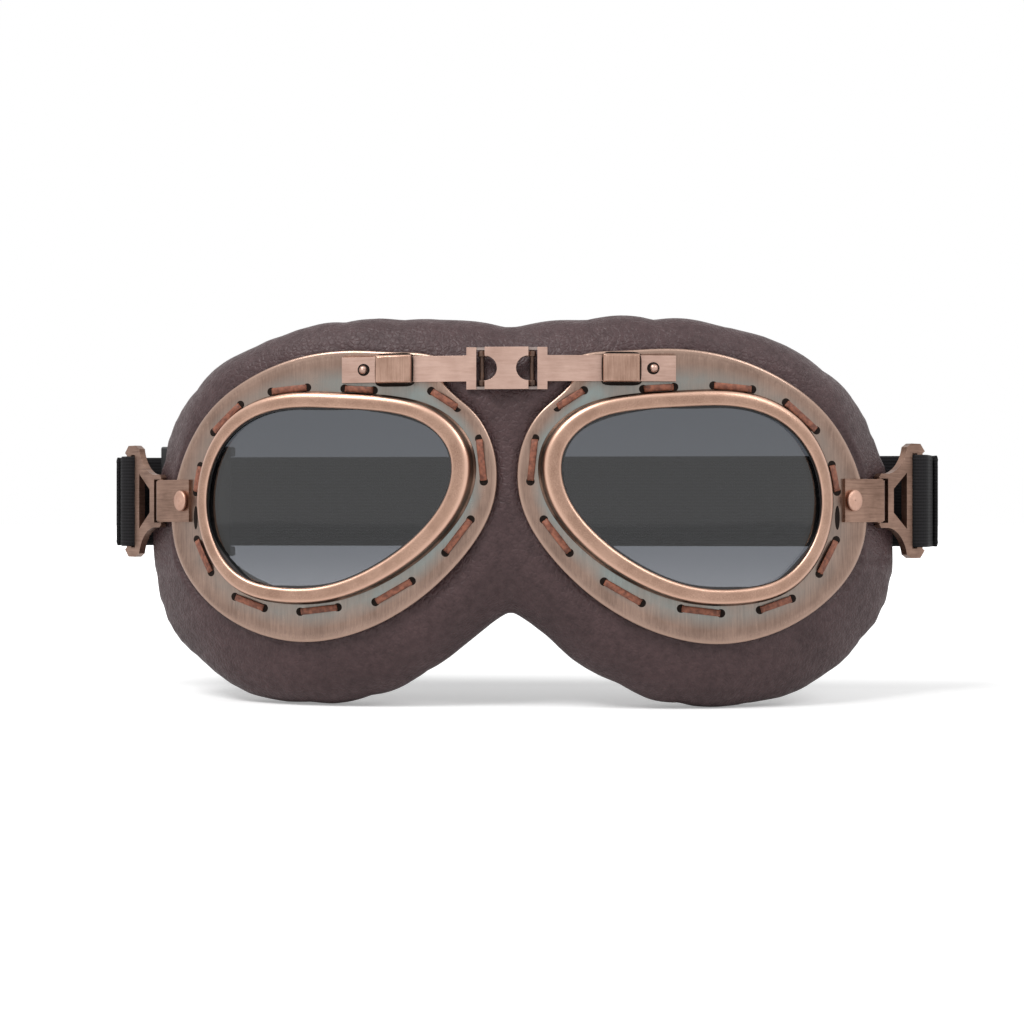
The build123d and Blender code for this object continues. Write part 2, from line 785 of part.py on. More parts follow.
# Slider: top and bottom rails, two bars in front of the strap layers and one behind them
slider_front_y = strap_front_y - slider_clearance - slider_bar_thickness
slider_back_y = left_run_y + strap_thickness + slider_clearance + slider_bar_thickness
rail_inner = strap_height / 2 + slider_clearance
slider_height = 2 * (rail_inner + slider_rail)

with BuildPart() as slider:
    for side in (-1, 1):
        with BuildSketch(Plane.XZ.offset(-slider_front_y)):
            with Locations((slider_x, lug_rivet_z + side * (rail_inner + slider_rail / 2))):
                Rectangle(slider_width, slider_rail)
        extrude(amount=-(slider_back_y - slider_front_y))
        with BuildSketch(Plane.XZ.offset(-slider_front_y)):
            with Locations((slider_x + side * (slider_width - slider_bar) / 2, lug_rivet_z)):
                Rectangle(slider_bar, slider_height)
        extrude(amount=-slider_bar_thickness)
    with BuildSketch(Plane.XZ.offset(-slider_back_y)):
        with Locations((slider_x, lug_rivet_z)):
            Rectangle(slider_bar, slider_height)
    extrude(amount=slider_bar_thickness)

# Files: the origin lies on the floor, under the middle of the whole object's box
front_y = bezel.part.bounding_box().min.Y
middle_y = (front_y + slider_back_y) / 2


def save(solid, name):
    with BuildPart() as placed:
        with Locations((0, -middle_y, 0)):
            add(solid)
    placed.part.label = name
    export_step(placed.part, f"parts/{name}.step")


def save_pair(solid, name):
    save(solid, f"right_{name}")
    with BuildPart() as twin:
        add(solid)
        mirror(about=Plane.YZ, mode=Mode.REPLACE)
    save(twin.part, f"left_{name}")


os.makedirs("parts", exist_ok=True)
save_pair(eyecup.part, "eyecup")
save_pair(bezel.part, "bezel")
save_pair(lens, "lens")
save_pair(gasket.part, "gasket")
save_pair(lacing.part, "lacing")
save_pair(bridge_arm.part, "bridge_arm")
save_pair(keeper_block.part, "keeper_block")
save_pair(arm_rivet, "arm_rivet")
save_pair(hinge_pin, "hinge_pin")
save_pair(lug.part, "lug")
save_pair(lug_rivet, "lug_rivet")
save_pair(buckle.part, "buckle")
save_pair(pad_cover.part, "pad_cover")
save_pair(pad_foam, "pad_foam")
save(nose_pad.part, "nose_pad")
save(bridge_plate.part, "bridge_plate")
save(right_strap_loop, "right_strap_loop")
save(left_strap_loop.part, "left_strap_loop")
save(strap_back, "strap_back")
save(left_strap.part, "left_strap")
save(slider.part, "strap_slider")
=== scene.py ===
import bpy
import numpy as np
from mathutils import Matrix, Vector


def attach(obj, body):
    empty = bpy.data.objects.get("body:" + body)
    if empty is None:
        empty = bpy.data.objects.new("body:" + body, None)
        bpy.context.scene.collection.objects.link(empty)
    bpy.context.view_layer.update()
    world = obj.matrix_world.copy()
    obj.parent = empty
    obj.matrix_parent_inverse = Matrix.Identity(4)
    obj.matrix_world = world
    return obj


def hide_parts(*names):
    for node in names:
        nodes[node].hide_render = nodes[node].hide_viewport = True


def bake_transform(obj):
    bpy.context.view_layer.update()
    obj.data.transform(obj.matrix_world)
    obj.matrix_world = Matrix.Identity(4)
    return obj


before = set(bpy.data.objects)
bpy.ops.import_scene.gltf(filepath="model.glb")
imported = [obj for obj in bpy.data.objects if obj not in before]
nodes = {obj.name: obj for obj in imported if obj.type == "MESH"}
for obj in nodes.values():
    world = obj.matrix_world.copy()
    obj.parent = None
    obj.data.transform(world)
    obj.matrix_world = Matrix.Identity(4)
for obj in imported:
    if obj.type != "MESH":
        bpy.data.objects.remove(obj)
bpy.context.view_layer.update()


# LEATHER MASK
# A soft dark brown leather bag over foam, cut in one piece for both eyes and gathered along its
# outer seam. The eyecups are laced on its front, and the wearer's face presses on its back.
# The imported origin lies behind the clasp, so depths measured from the clasp are moved forward.
clasp_depth = 26.056
mask_axis = (47.5, 54.5)
mask_half_width = 102.0
mask_reach_shares = (0.982, 0.944, 0.900, 0.848, 0.837, 0.870, 0.994, 1.240, 1.340,
                     1.300, 1.130, 0.985, 0.970, 0.990, 1.026, 1.060, 1.095, 1.060)
mask_swell_shares = (0.06, 0.25, 0.8, 1.0, 1.0, 1.0, 1.0, 1.0, 1.0,
                     1.0, 1.0, 1.0, 1.0, 0.95, 0.8, 0.6, 0.35, 0.12)
wrap_arcs = ((331.98, 2.0, 10.0), (141.9, 10.0, 20.0), (44.88, 20.0, 40.0))


def wrap(x):
    """Depth and slope of the metal's front at x: three arcs in a row, each with its radius and its slopes
    in degrees, each bending more, then a straight."""
    x = np.abs(x)
    depth = np.zeros_like(x)
    slope = np.zeros_like(x)
    start_x, start_y = 0.0, 0.0
    for radius, low, high in wrap_arcs:
        low, high = np.radians(low), np.radians(high)
        span = radius * (np.sin(high) - np.sin(low))
        here = x >= start_x
        turn = np.arcsin(np.clip((x - start_x) / radius + np.sin(low), -1, np.sin(high)))
        rest = np.maximum(x - start_x - span, 0) * np.tan(high)
        depth = np.where(here, start_y + radius * (np.cos(low) - np.cos(turn)) + rest, depth)
        slope = np.where(here, turn, slope)
        start_x += span
        start_y += radius * (np.cos(low) - np.cos(high))
    return depth, slope


def round_table(values, angle):
    """Value at any angle from a table at even steps of a full turn: a cubic through the four
    nearest entries."""
    values = np.array(values)
    place = angle / (2 * np.pi) * len(values)
    step = np.floor(place).astype(int)
    f = place - step
    a, b, c, d = (values[(step + k) % len(values)] for k in (-1, 0, 1, 2))
    squared = 2 * a - 5 * b + 4 * c - d
    cubed = 3 * b - a - 3 * c + d
    return 0.5 * (2 * b + (c - a) * f + squared * f ** 2 + cubed * f ** 3)


def full_turn(count):
    """Angles at even steps of a full turn."""
    return np.arange(count) / count * 2 * np.pi


hole_half_width, hole_half_height, hole_squareness = 34.5, 24.0, 2.6
land_width, leather_behind = 10.5, 1.35
rear_depth, rear_bend, rear_span = 22.0, 21.0, 91.0


def mask_section(angle):
    """Corner points (reach, depth) of the mask's section at each angle round one eye, in millimetres.
    The front land lies under the metal, the front swells out to the seam, and the back rolls over a
    crest into the hole."""
    side = np.cos(angle) ** 2
    rim = round_table(mask_reach_shares, angle) * (mask_half_width - mask_axis[0])
    hole = ((np.abs(np.cos(angle)) / hole_half_width) ** hole_squareness
            + (np.abs(np.sin(angle)) / hole_half_height) ** hole_squareness) ** (-1 / hole_squareness)
    land = hole + land_width * (1 - 0.24 * side)
    crest = rim - 0.45 * (rim - hole)

    def front(reach):
        depth, slope = wrap(np.maximum(mask_axis[0] + reach * np.cos(angle), 0))
        return depth + leather_behind / np.cos(slope)

    def rear(reach):
        return rear_depth + rear_bend * ((mask_axis[0] + reach * np.cos(angle)) / rear_span) ** 2

    seam = front(rim - 6.0) + (0.55 + 0.23 * side) * (rear(rim - 6.0) - front(rim - 6.0))
    flat = (3.0 + 6.0 * (1 - side)) / 2
    inner = np.stack([hole, front(hole)], -1)
    leave = np.stack([land, front(land)], -1)
    rim_front = np.stack([rim, seam - flat], -1)
    rim_back = np.stack([rim, seam + flat], -1)
    top = np.stack([crest, rear(crest)], -1)
    lip = np.stack([hole + 1.5, rear(hole) - 3.5], -1)
    full = round_table(mask_swell_shares, angle)[:, None]
    run = rim_front - leave
    swell = (leave + rim_front) / 2 * (1 - full) + (leave + run * [0.62, 0.27]) * full
    shoulder = rim_back + (top - rim_back) * [0.29, 0.71]
    roll = top + (lip - top) * [0.71, 0.30]
    return inner, leave, swell, rim_front, rim_back, shoulder, top, roll, lip


def bow(start, middle, end, share):
    """Curve from start through middle to end: a parabola, at each share of the way."""
    pull = 2 * middle - (start + end) / 2
    share = share[None, :, None]
    return (start[:, None] * (1 - share) ** 2 + 2 * pull[:, None] * share * (1 - share)
            + end[:, None] * share ** 2)


def grid_faces(rows, columns, rows_closed=False, columns_closed=False):
    """Quads between the points of a grid, with its last row or column joined to the first where it
    is closed."""
    row = np.arange(rows if rows_closed else rows - 1)[:, None]
    column = np.arange(columns if columns_closed else columns - 1)[None, :]
    next_row, next_column = (row + 1) % rows, (column + 1) % columns
    corners = [row * columns + column, row * columns + next_column,
               next_row * columns + next_column, next_row * columns + column]
    return np.stack([c.ravel() for c in np.broadcast_arrays(*corners)], -1)


def put(name, points, faces, smooth=True):
    """A mesh object from points in millimetres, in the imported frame, and faces as rows of point numbers."""
    mesh = bpy.data.meshes.new(name)
    mesh.from_pydata((np.asarray(points).reshape(-1, 3) * 0.001).tolist(), [], np.asarray(faces).tolist())
    mesh.polygons.foreach_set("use_smooth", np.full(len(mesh.polygons), smooth))
    mesh.update()
    piece = bpy.data.objects.new(name, mesh)
    bpy.context.scene.collection.objects.link(piece)
    return piece


def corners_of(piece):
    """The piece's vertices as rows, in millimetres."""
    flat = np.empty(len(piece.data.vertices) * 3)
    piece.data.vertices.foreach_get("co", flat)
    return flat.reshape(-1, 3) * 1000


def set_corners(piece, points):
    """Moves the piece's vertices to these places, in millimetres."""
    piece.data.vertices.foreach_set("co", (points * 0.001).ravel())
    piece.data.update()


def settle(piece):
    """Turns the piece's modifiers into its mesh, as they are at this frame."""
    shown = piece.evaluated_get(bpy.context.evaluated_depsgraph_get())
    old = piece.data
    piece.data = bpy.data.meshes.new_from_object(shown)
    piece.modifiers.clear()
    bpy.data.meshes.remove(old)


flange_shares = ((0.190, 0.978), (0.28, 0.988), (0.40, 0.996), (0.56, 0.980), (0.734, 0.904), (0.887, 0.763),
                 (0.98, 0.561), (1.0, 0.42), (0.955, 0.245), (0.861, 0.128), (0.72, 0.035), (0.567, 0.0),
                 (0.41, 0.03), (0.245, 0.128), (0.10, 0.285), (0.012, 0.46), (0.004, 0.64), (0.069, 0.791),
                 (0.132, 0.858), (0.153, 0.895), (0.159, 0.940), (0.168, 0.966))


def closed_curve(points, count):
    """Smooth closed curve through the points, at even steps of its length: a cubic between each two points,
    with the second derivatives that make the bend run on evenly across every point."""
    p = np.array(points, float)
    size = len(p)
    i = np.arange(size)
    gap = np.roll(p, -1, 0) - p
    h = np.linalg.norm(gap, axis=1)
    before = np.roll(h, 1)
    system = np.zeros((size, size))
    system[i, i] = 2 * (before + h)
    system[i, i - 1] = before
    system[i, (i + 1) % size] = h
    pace = gap / h[:, None]
    bend = np.linalg.solve(system, 6 * (pace - np.roll(pace, 1, 0)))
    t = np.linspace(0, 1, 65)[:-1][None, :, None]
    span = h[:, None, None] ** 2 / 6
    a, b = bend[:, None], np.roll(bend, -1, 0)[:, None]
    fine = (p[:, None] * (1 - t) + np.roll(p, -1, 0)[:, None] * t
            + span * (((1 - t) ** 3 - (1 - t)) * a + (t ** 3 - t) * b)).reshape(-1, 2)
    fine = np.vstack([fine, fine[:1]])
    length = np.concatenate([[0], np.cumsum(np.linalg.norm(np.diff(fine, axis=0), axis=1))])
    even = np.arange(count) / count * length[-1]
    return np.stack([np.interp(even, length, fine[:, k]) for k in (0, 1)], -1)


outline_count = 300
flange_corner, flange_width, flange_height = (2.7, 17.0), 90.3, 75.0
flange_edge = closed_curve([(flange_corner[0] + flange_width * u, flange_corner[1] + flange_height * v)
                            for u, v in flange_shares], outline_count)


def mask_ring(side):
    """One eye's ring of the mask, as a closed tube of sections, cut off flat just past the nose and
    at the floor."""
    angle = full_turn(200)
    inner, leave, swell, rim_front, rim_back, shoulder, top, roll, lip = mask_section(angle)
    t = np.linspace(0, 1, 9)[:-1]
    section = np.concatenate([
        bow(inner, (inner + leave) / 2, leave, t), bow(leave, swell, rim_front, t),
        bow(rim_front, (rim_front + rim_back) / 2, rim_back, t[::4]), bow(rim_back, shoulder, top, t),
        bow(top, roll, lip, t), bow(lip, (lip + inner) / 2, inner, t)], axis=1)
    x = np.maximum(mask_axis[0] + section[..., 0] * np.cos(angle)[:, None], -1.0)
    z = np.maximum(mask_axis[1] + section[..., 0] * np.sin(angle)[:, None], 0.0)
    ring = np.stack([side * x, section[..., 1] - clasp_depth, z], -1)
    faces = grid_faces(*ring.shape[:2], True, True)
    return ring.reshape(-1, 3), faces if side > 0 else faces[:, ::-1]


right_ring, right_ring_faces = mask_ring(1)
left_ring, left_ring_faces = mask_ring(-1)
mask = put("leather_mask", np.concatenate([right_ring, left_ring]),
           np.concatenate([right_ring_faces, left_ring_faces + len(right_ring)]))
remesh = mask.modifiers.new("one skin", "REMESH")
remesh.mode = "VOXEL"
remesh.voxel_size = 0.0026
remesh.use_smooth_shade = True
ease = mask.modifiers.new("ease", "SMOOTH")
ease.factor = 0.5
ease.iterations = 3
settle(mask)

before = corners_of(mask)
cloth = mask.modifiers.new("stuffing", "CLOTH")
cloth.settings.quality = 5
cloth.settings.mass = 0.4
cloth.settings.tension_stiffness = 18
cloth.settings.compression_stiffness = 18
cloth.settings.shear_stiffness = 8
cloth.settings.bending_stiffness = 0.6
cloth.settings.use_pressure = True
cloth.settings.uniform_pressure_force = 4
cloth.settings.effector_weights.gravity = 0
cloth.collision_settings.use_collision = False
for moment in range(1, 21):
    bpy.context.scene.frame_set(moment)
settle(mask)
bpy.context.scene.frame_set(1)
moved = corners_of(mask) - before
farthest = 2.5
far = np.maximum(np.linalg.norm(moved, axis=1, keepdims=True), 1e-9)
set_corners(mask, before + moved * np.minimum(1, farthest / far))

finer = mask.modifiers.new("finer", "SUBSURF")
finer.levels = finer.render_levels = 1
settle(mask)

# The seam's gathers and the soft dents of the leather, and the flat that the metal presses into it
skin = corners_of(mask)
across, up = np.abs(skin[:, 0]) - mask_axis[0], skin[:, 2] - mask_axis[1]
angle = np.arctan2(up, across) % (2 * np.pi)
reach = np.hypot(across, up)
rim = round_table(mask_reach_shares, angle) * (mask_half_width - mask_axis[0])
seam_radius, left_shift = 54, 7.3
gather_length, gather_depth, dent_depth = 23.0, 0.7, 0.16
run = angle * seam_radius + np.where(skin[:, 0] > 0, 0, left_shift)
near_rim = np.clip((reach / rim - 0.74) / 0.24, 0, 1)
near_rim = near_rim * near_rim * (3 - 2 * near_rim)
warp = 6.0 * np.sin(run / 19.0) + 3.0 * np.sin(run / 8.3 + 1)
scallop = np.abs(np.sin(np.pi * (run + warp) / gather_length)) - 0.62
out = near_rim * gather_depth * scallop
x, z = skin[:, 0], skin[:, 2]
dent = (np.sin(x / 5.3 + np.sin(z / 7.9)) * np.sin(z / 6.1 + np.sin(x / 9.7))
        + 0.5 * np.sin(x / 2.9 + z / 4.3))
normal = np.empty(len(skin) * 3)
mask.data.vertices.foreach_get("normal", normal)
normal = normal.reshape(-1, 3)
turned = np.stack([np.sign(skin[:, 0]) * np.cos(angle), np.zeros_like(angle), np.sin(angle)], -1)
off_nose = np.clip((np.abs(skin[:, 0]) - 4) / 12, 0.25, 1)
skin += turned * (out * off_nose)[:, None] + normal * (dent_depth * dent)[:, None]

edge_from_axis = flange_edge - mask_axis
edge_angle = np.arctan2(edge_from_axis[:, 1], edge_from_axis[:, 0]) % (2 * np.pi)
order = np.argsort(edge_angle)
metal_reach = np.interp(angle, edge_angle[order], np.hypot(*edge_from_axis.T)[order], period=2 * np.pi)
metal_back, metal_slope = wrap(skin[:, 0])
pressed_behind, pressed_past, release_slope = 1.3, 0.8, 1.1
past_metal = np.maximum(reach - metal_reach - pressed_past, 0)
pressed = metal_back + pressed_behind / np.cos(metal_slope) - clasp_depth - past_metal * release_slope
skin[:, 1] = np.maximum(skin[:, 1], pressed)

# The leather dishes in behind each buckle, which swings a few degrees towards it about its lug's curl
buckle_hinge = np.array([96.580, 5.079])
buckle_slope, buckle_swing = 45.0, 8.0
buckle_half_thickness, buckle_clearance = 0.9, 0.6
temple_height, buckle_half_height = 53.5, 16.0
buckle_start, buckle_end = -3.0, 20.0
dish_fall, dish_from_rim = 0.9, 0.6
swung = np.radians(buckle_slope + buckle_swing)
along_buckle = np.array([np.cos(swung), np.sin(swung)])
off_buckle = np.array([-along_buckle[1], along_buckle[0]])
from_hinge = np.stack([np.abs(skin[:, 0]), skin[:, 1]], -1) - buckle_hinge
beyond = (np.maximum(np.abs(skin[:, 2] - temple_height) - buckle_half_height, 0)
          + np.maximum(from_hinge @ along_buckle - buckle_end, 0)
          + np.maximum(buckle_start - from_hinge @ along_buckle, 0))
room = buckle_half_thickness + buckle_clearance - dish_fall * beyond
dished = np.maximum(room - from_hinge @ off_buckle, 0)
dished[reach < dish_from_rim * rim] = 0
skin[:, :2] += dished[:, None] * off_buckle * np.stack([np.sign(skin[:, 0]), np.ones(len(skin))], -1)
skin[:, 2] = np.maximum(skin[:, 2], 0)
set_corners(mask, skin)


def give(socket, value):
    """Sets a socket to a fixed value, or links another node's output to it."""
    if isinstance(value, bpy.types.NodeSocket):
        socket.id_data.links.new(value, socket)
    else:
        socket.default_value = value


def fill(made, **values):
    """Gives a node's inputs by their names, with _ for a space."""
    for name, value in values.items():
        give(made.inputs[name.replace("_", " ")], value)


def node_maker(tree):
    """A short way to add a node to the tree, with its settings and its inputs."""
    def node(kind, settings=None, **values):
        made = tree.nodes.new(kind)
        for name, value in (settings or {}).items():
            setattr(made, name, value)
        fill(made, **values)
        return made

    return node


def new_finish(name):
    """An empty material, its shader and the short way to add nodes to it."""
    material = bpy.data.materials.new(name)
    material.use_nodes = True
    return material, material.node_tree.nodes["Principled BSDF"], node_maker(material.node_tree)


def maths(node, operation, *values):
    """The result of one step of arithmetic."""
    made = node("ShaderNodeMath", {"operation": operation})
    for socket, value in zip(made.inputs, values):
        give(socket, value)
    return made.outputs[0]


def own_place(node):
    """The place measured on the piece itself, so the pattern stays on it as it moves."""
    return node("ShaderNodeTexCoord").outputs["Object"]


def noise(node, place, scale, detail=2.0, roughness=0.5):
    """Soft random patches, between 0 and 1."""
    made = node("ShaderNodeTexNoise", Vector=place, Scale=scale, Detail=detail, Roughness=roughness)
    return made.outputs["Fac"]


def between(node, share, low, high):
    """The colour at a share of the way from low to high. The mix node's sockets for colours have the
    numbers 6, 7 and 2."""
    mixed = node("ShaderNodeMix", {"data_type": "RGBA"})
    give(mixed.inputs[0], share)
    for socket, colour in ((mixed.inputs[6], low), (mixed.inputs[7], high)):
        give(socket, colour if isinstance(colour, bpy.types.NodeSocket) else (*colour, 1))
    return mixed.outputs[2]


def spread(node, value, low, high, to_low, to_high):
    """The value moved from one range to another, and held inside it."""
    return node("ShaderNodeMapRange", Value=value, From_Min=low, From_Max=high,
                To_Min=to_low, To_Max=to_high).outputs[0]


def bumps(node, height, strength, distance):
    """A surface roughened by a height."""
    return node("ShaderNodeBump", Strength=strength, Distance=distance, Height=height).outputs[0]


leather, shader, node = new_finish("dark leather")
place = own_place(node)
patches = noise(node, place, 70.0, 3.0)
crinkle = noise(node, place, 520.0, 5.0, 0.62)
pebble = node("ShaderNodeTexVoronoi", {"feature": "DISTANCE_TO_EDGE"}, Vector=place,
              Scale=760.0).outputs["Distance"]
grain = maths(node, "MULTIPLY_ADD", spread(node, pebble, 0.0, 0.25, 0.0, 1.0), 0.45, crinkle)
tone = maths(node, "MULTIPLY_ADD", patches, 0.7, spread(node, crinkle, 0.35, 0.65, -0.1, 0.35))
fill(shader, Base_Color=between(node, tone, (0.032, 0.0155, 0.0165), (0.079, 0.0430, 0.0445)),
     Roughness=spread(node, crinkle, 0.3, 0.7, 0.58, 0.38), Normal=bumps(node, grain, 0.6, 0.0004),
     Specular_IOR_Level=0.34)
mask.data.materials.clear()
mask.data.materials.append(leather)
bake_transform(mask)
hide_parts("right_pad_cover", "left_pad_cover", "right_pad_foam", "left_pad_foam", "nose_pad")


# EYECUP FLANGES
# Each eyecup is a pressed copper sheet, bent round the face, with an edge rolled bright and a
# grey-green patina towards the lens. Its eleven pairs of punched holes take the lacing.
lens_shares = ((-0.03, 0.500), (0.19, 0.497), (0.345, 0.415), (0.455, 0.24), (0.500, 0.0), (0.46, -0.26),
               (0.35, -0.435), (0.19, -0.498), (0.0, -0.485), (-0.20, -0.372), (-0.39, -0.16), (-0.487, 0.07),
               (-0.487, 0.25), (-0.395, 0.405), (-0.24, 0.475))
lens_first = 7
lens_centre, lens_width, lens_height = (46.6, 54.0), 66.0, 45.7
lens_points = [(lens_centre[0] + lens_width * u, lens_centre[1] + lens_height * v)
               for u, v in lens_shares[lens_first:] + lens_shares[:lens_first]]


def outward(curve):
    """Unit vectors that point out of a closed curve that runs clockwise: its own direction, turned left."""
    along = np.roll(curve, -1, 0) - np.roll(curve, 1, 0)
    along /= np.linalg.norm(along, axis=1, keepdims=True)
    return np.stack([-along[:, 1], along[:, 0]], -1)


def on_metal(across_up, height):
    """Points over the bent sheet: across and up stay, and the depth is the sheet's front less the height."""
    depth, slope = wrap(across_up[..., 0])
    return np.stack([across_up[..., 0], depth - height / np.cos(slope) - clasp_depth, across_up[..., 1]], -1)


def twins(name, points, faces, finish, **marks):
    """The right piece and its mirrored twin, riding on their eyes, with the marks kept as attributes."""
    made = []
    for side in (1, -1):
        piece = put(f"{'right' if side > 0 else 'left'}_{name}", points.reshape(-1, 3) * [side, 1, 1],
                    faces if side > 0 else faces[:, ::-1])
        for label, value in marks.items():
            layer = piece.data.attributes.new(label, "FLOAT", "POINT")
            spread_out = np.broadcast_to(value, points.shape[:-1]).astype(np.float32)
            layer.data.foreach_set("value", spread_out.ravel())
        piece.data.materials.append(finish)
        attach(piece, "right_eye" if side > 0 else "left_eye")
        made.append(piece)
    return made


def mark(node, name):
    """One of the piece's own attributes, for a material."""
    return node("ShaderNodeAttribute", {"attribute_name": name}).outputs["Fac"]


def copper(name, dark, bright, strokes, low_shine=0.46, high_shine=0.26, worn="",
           patina_and_shade=None, patina_and_shade_mark="", stains=0.45):
    """Antique copper: fine strokes of the brush stretched along one way, over soft dark stains.
    Where the worn mark is high the bare bright metal shows, and where the mark for patina and shade
    is high it takes that colour: patina on the flanges, and shade painted dark on the rings' walls."""
    finish, shader, node = new_finish(name)
    place = own_place(node)
    brushed = node("ShaderNodeMapping", Vector=place, Scale=strokes).outputs[0]
    stroke = noise(node, brushed, 1.0, 4.0, 0.7)
    stain = noise(node, place, 110.0, 4.0, 0.6)
    share = maths(node, "MULTIPLY_ADD", spread(node, stroke, 0.3, 0.7, 0.0, 1.0), 0.55,
                  spread(node, stain, 0.35, 0.65, 0.0, stains))
    colour = between(node, share, dark, bright)
    if patina_and_shade:
        layer = maths(node, "MULTIPLY", mark(node, patina_and_shade_mark), spread(node, stain, 0.36, 0.6, 1.0, 0.6))
        colour = between(node, layer, colour, patina_and_shade)
    if worn:
        colour = between(node, mark(node, worn), colour, [min(1, 1.25 * c) for c in bright])
    fill(shader, Base_Color=colour, Metallic=1, Normal=bumps(node, stroke, 0.35, 0.00006),
         Roughness=spread(node, stroke, 0.3, 0.7, low_shine, high_shine))
    return finish


flange_copper = copper("flange copper", (0.18, 0.120, 0.095), (0.35, 0.240, 0.190), (2200, 2200, 140),
                       worn="worn", patina_and_shade=(0.25, 0.285, 0.275), patina_and_shade_mark="aged")
lens_edge = closed_curve(lens_points, outline_count)
lens_out = outward(lens_edge)
foot_reach, rim_width, turned_in, sheet_thickness = 3.0, 2.0, 0.4, 1.0
bezel_foot = lens_edge + lens_out * foot_reach
start = np.argmin(np.linalg.norm(flange_edge - bezel_foot[0], axis=1))
flange_edge = np.roll(flange_edge, -start, 0)
flange_in = -outward(flange_edge)
sheet_profile = np.array([(0.0, 0.55), (0.02, 0.1), (0.25, -0.22), (0.75, -0.34), (1.35, -0.2),
                          (rim_width, 0.0)])
rolled = on_metal(flange_edge[:, None] + flange_in[:, None] * sheet_profile[None, :, :1],
                  np.broadcast_to(-sheet_profile[:, 1], (len(flange_edge), len(sheet_profile))))
level = np.linspace(0, 1, 15)[1:, None]
band_start = flange_edge + flange_in * rim_width
plain = on_metal(band_start[:, None] * (1 - level) + bezel_foot[:, None] * level, 0.0)
under = on_metal(np.stack([bezel_foot, flange_edge + flange_in * turned_in], 1), -sheet_thickness)
flange_points = np.concatenate([rolled, plain, under], axis=1)
inset = np.linalg.norm(bezel_foot - flange_edge, axis=1)
reach_in = np.concatenate([np.broadcast_to(sheet_profile[:, 0], (outline_count, len(sheet_profile))),
                           rim_width + level.ravel()[None] * (inset[:, None] - rim_width),
                           np.zeros((outline_count, 2))], axis=1)
worn = np.clip(1.3 - reach_in / 0.9, 0, 1)
ageing = np.clip(0.62 - 0.42 * np.sum(outward(flange_edge) * [1, 0], axis=1), 0.2, 1)
aged = np.clip((reach_in / inset[:, None] - 0.3) / 0.35, 0, 1) * ageing[:, None]
flange_faces = grid_faces(*flange_points.shape[:2], True, True)
flanges = twins("flange", flange_points, flange_faces, flange_copper, worn=worn, aged=aged)
for piece, side in zip(flanges, ("right", "left")):
    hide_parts(f"{side}_eyecup")


# LENS RINGS
# A spun copper ring holds each lens down: a crowned front band with bright worn edges, and a wall
# that stands on the flange, with its shade painted dark onto it. It is brushed across its width.
ring_profile = np.array([(0.05, 2.75), (0.0, 3.1), (0.12, 3.55), (0.5, 3.86), (1.1, 4.0), (1.9, 4.02),
                         (2.7, 3.92), (3.3, 3.68), (3.68, 3.25), (3.8, 2.7), (3.82, 1.6), (3.86, 0.7),
                         (4.0, 0.3), (4.35, 0.12), (4.45, -0.1), (3.4, -0.1), (2.85, 0.4), (2.8, 2.5)])
ring_out, ring_up = closed_curve(ring_profile, 40).T
to_nose = np.clip(-lens_out[:, :1], 0, 1) ** 1.5 * 1.7 - np.clip(lens_out[:, :1], 0, 1) ** 2 * 0.6
leaning = np.where(to_nose > 0, 1 - ring_up / 5.2, 1)
drafted = np.clip((ring_out - 1.2) / 2.6, 0, 1) * leaning
ring_reach = ring_out + to_nose * drafted
ring_points = on_metal(lens_edge[:, None] + lens_out[:, None] * ring_reach[:, :, None],
                       np.broadcast_to(ring_up, ring_reach.shape))
ring_faces = grid_faces(*ring_reach.shape, True, True)[:, ::-1]
outer_edge = np.exp(-((ring_out - 3.5) ** 2 + (ring_up - 3.5) ** 2) / 0.35)
inner_edge = np.exp(-((ring_out - 0.2) ** 2 + (ring_up - 3.6) ** 2) / 0.18)
# The ring's outer wall is painted dark brown as its shade where it stands on the flange
walled = np.clip((ring_out - 3.62) / 0.2, 0, 1) * np.clip((3.3 - ring_up) / 0.7, 0, 1)
ring_copper = copper("ring copper", (0.23, 0.133, 0.093), (0.58, 0.375, 0.285), (4000, 4000, 4000),
                     0.42, 0.28, worn="worn", patina_and_shade=(0.13, 0.085, 0.065), patina_and_shade_mark="walled",
                     stains=0.3)
rings = twins("ring", ring_points, ring_faces, ring_copper,
              worn=np.clip(outer_edge + 0.8 * inner_edge, 0, 1), walled=walled)
for piece, side in zip(rings, ("right", "left")):
    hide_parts(f"{side}_bezel")


# LACING
# Eleven short flat thongs of red-brown leather on each side hold the mask on the flange. Each comes
# up through one punched hole, lies flat on the metal and goes down through the next.
lacing_holes = ((0.633, 0.584, 5.3), (0.530, 0.488, 5.3), (0.419, 0.389, 8.2), (0.356, 0.319, 8.2),
                (0.279, 0.232, 8.2), (0.178, 0.125, 8.2), (0.078, 0.029, 6.2), (0.980, 0.942, 6.2),
                (0.902, 0.859, 6.2), (0.769, 0.802, 4.9), (0.724, 0.676, 5.3))
first, second, hole_reach = np.array(lacing_holes).T


def beside_lens(share, off):
    """Places at shares of the lens's outline, moved outwards by off."""
    place = share * outline_count
    low = np.floor(place).astype(int)
    part = (place - low)[:, None]
    here, after = low % outline_count, (low + 1) % outline_count
    point = lens_edge[here] * (1 - part) + lens_edge[after] * part
    out = lens_out[here] * (1 - part) + lens_out[after] * part
    return point + out * off[:, None]


def tube_faces(count, rows, columns):
    """Faces of open tubes of one grid size, one after another."""
    one = grid_faces(rows, columns, False, True)
    return np.concatenate([one + k * rows * columns for k in range(count)])


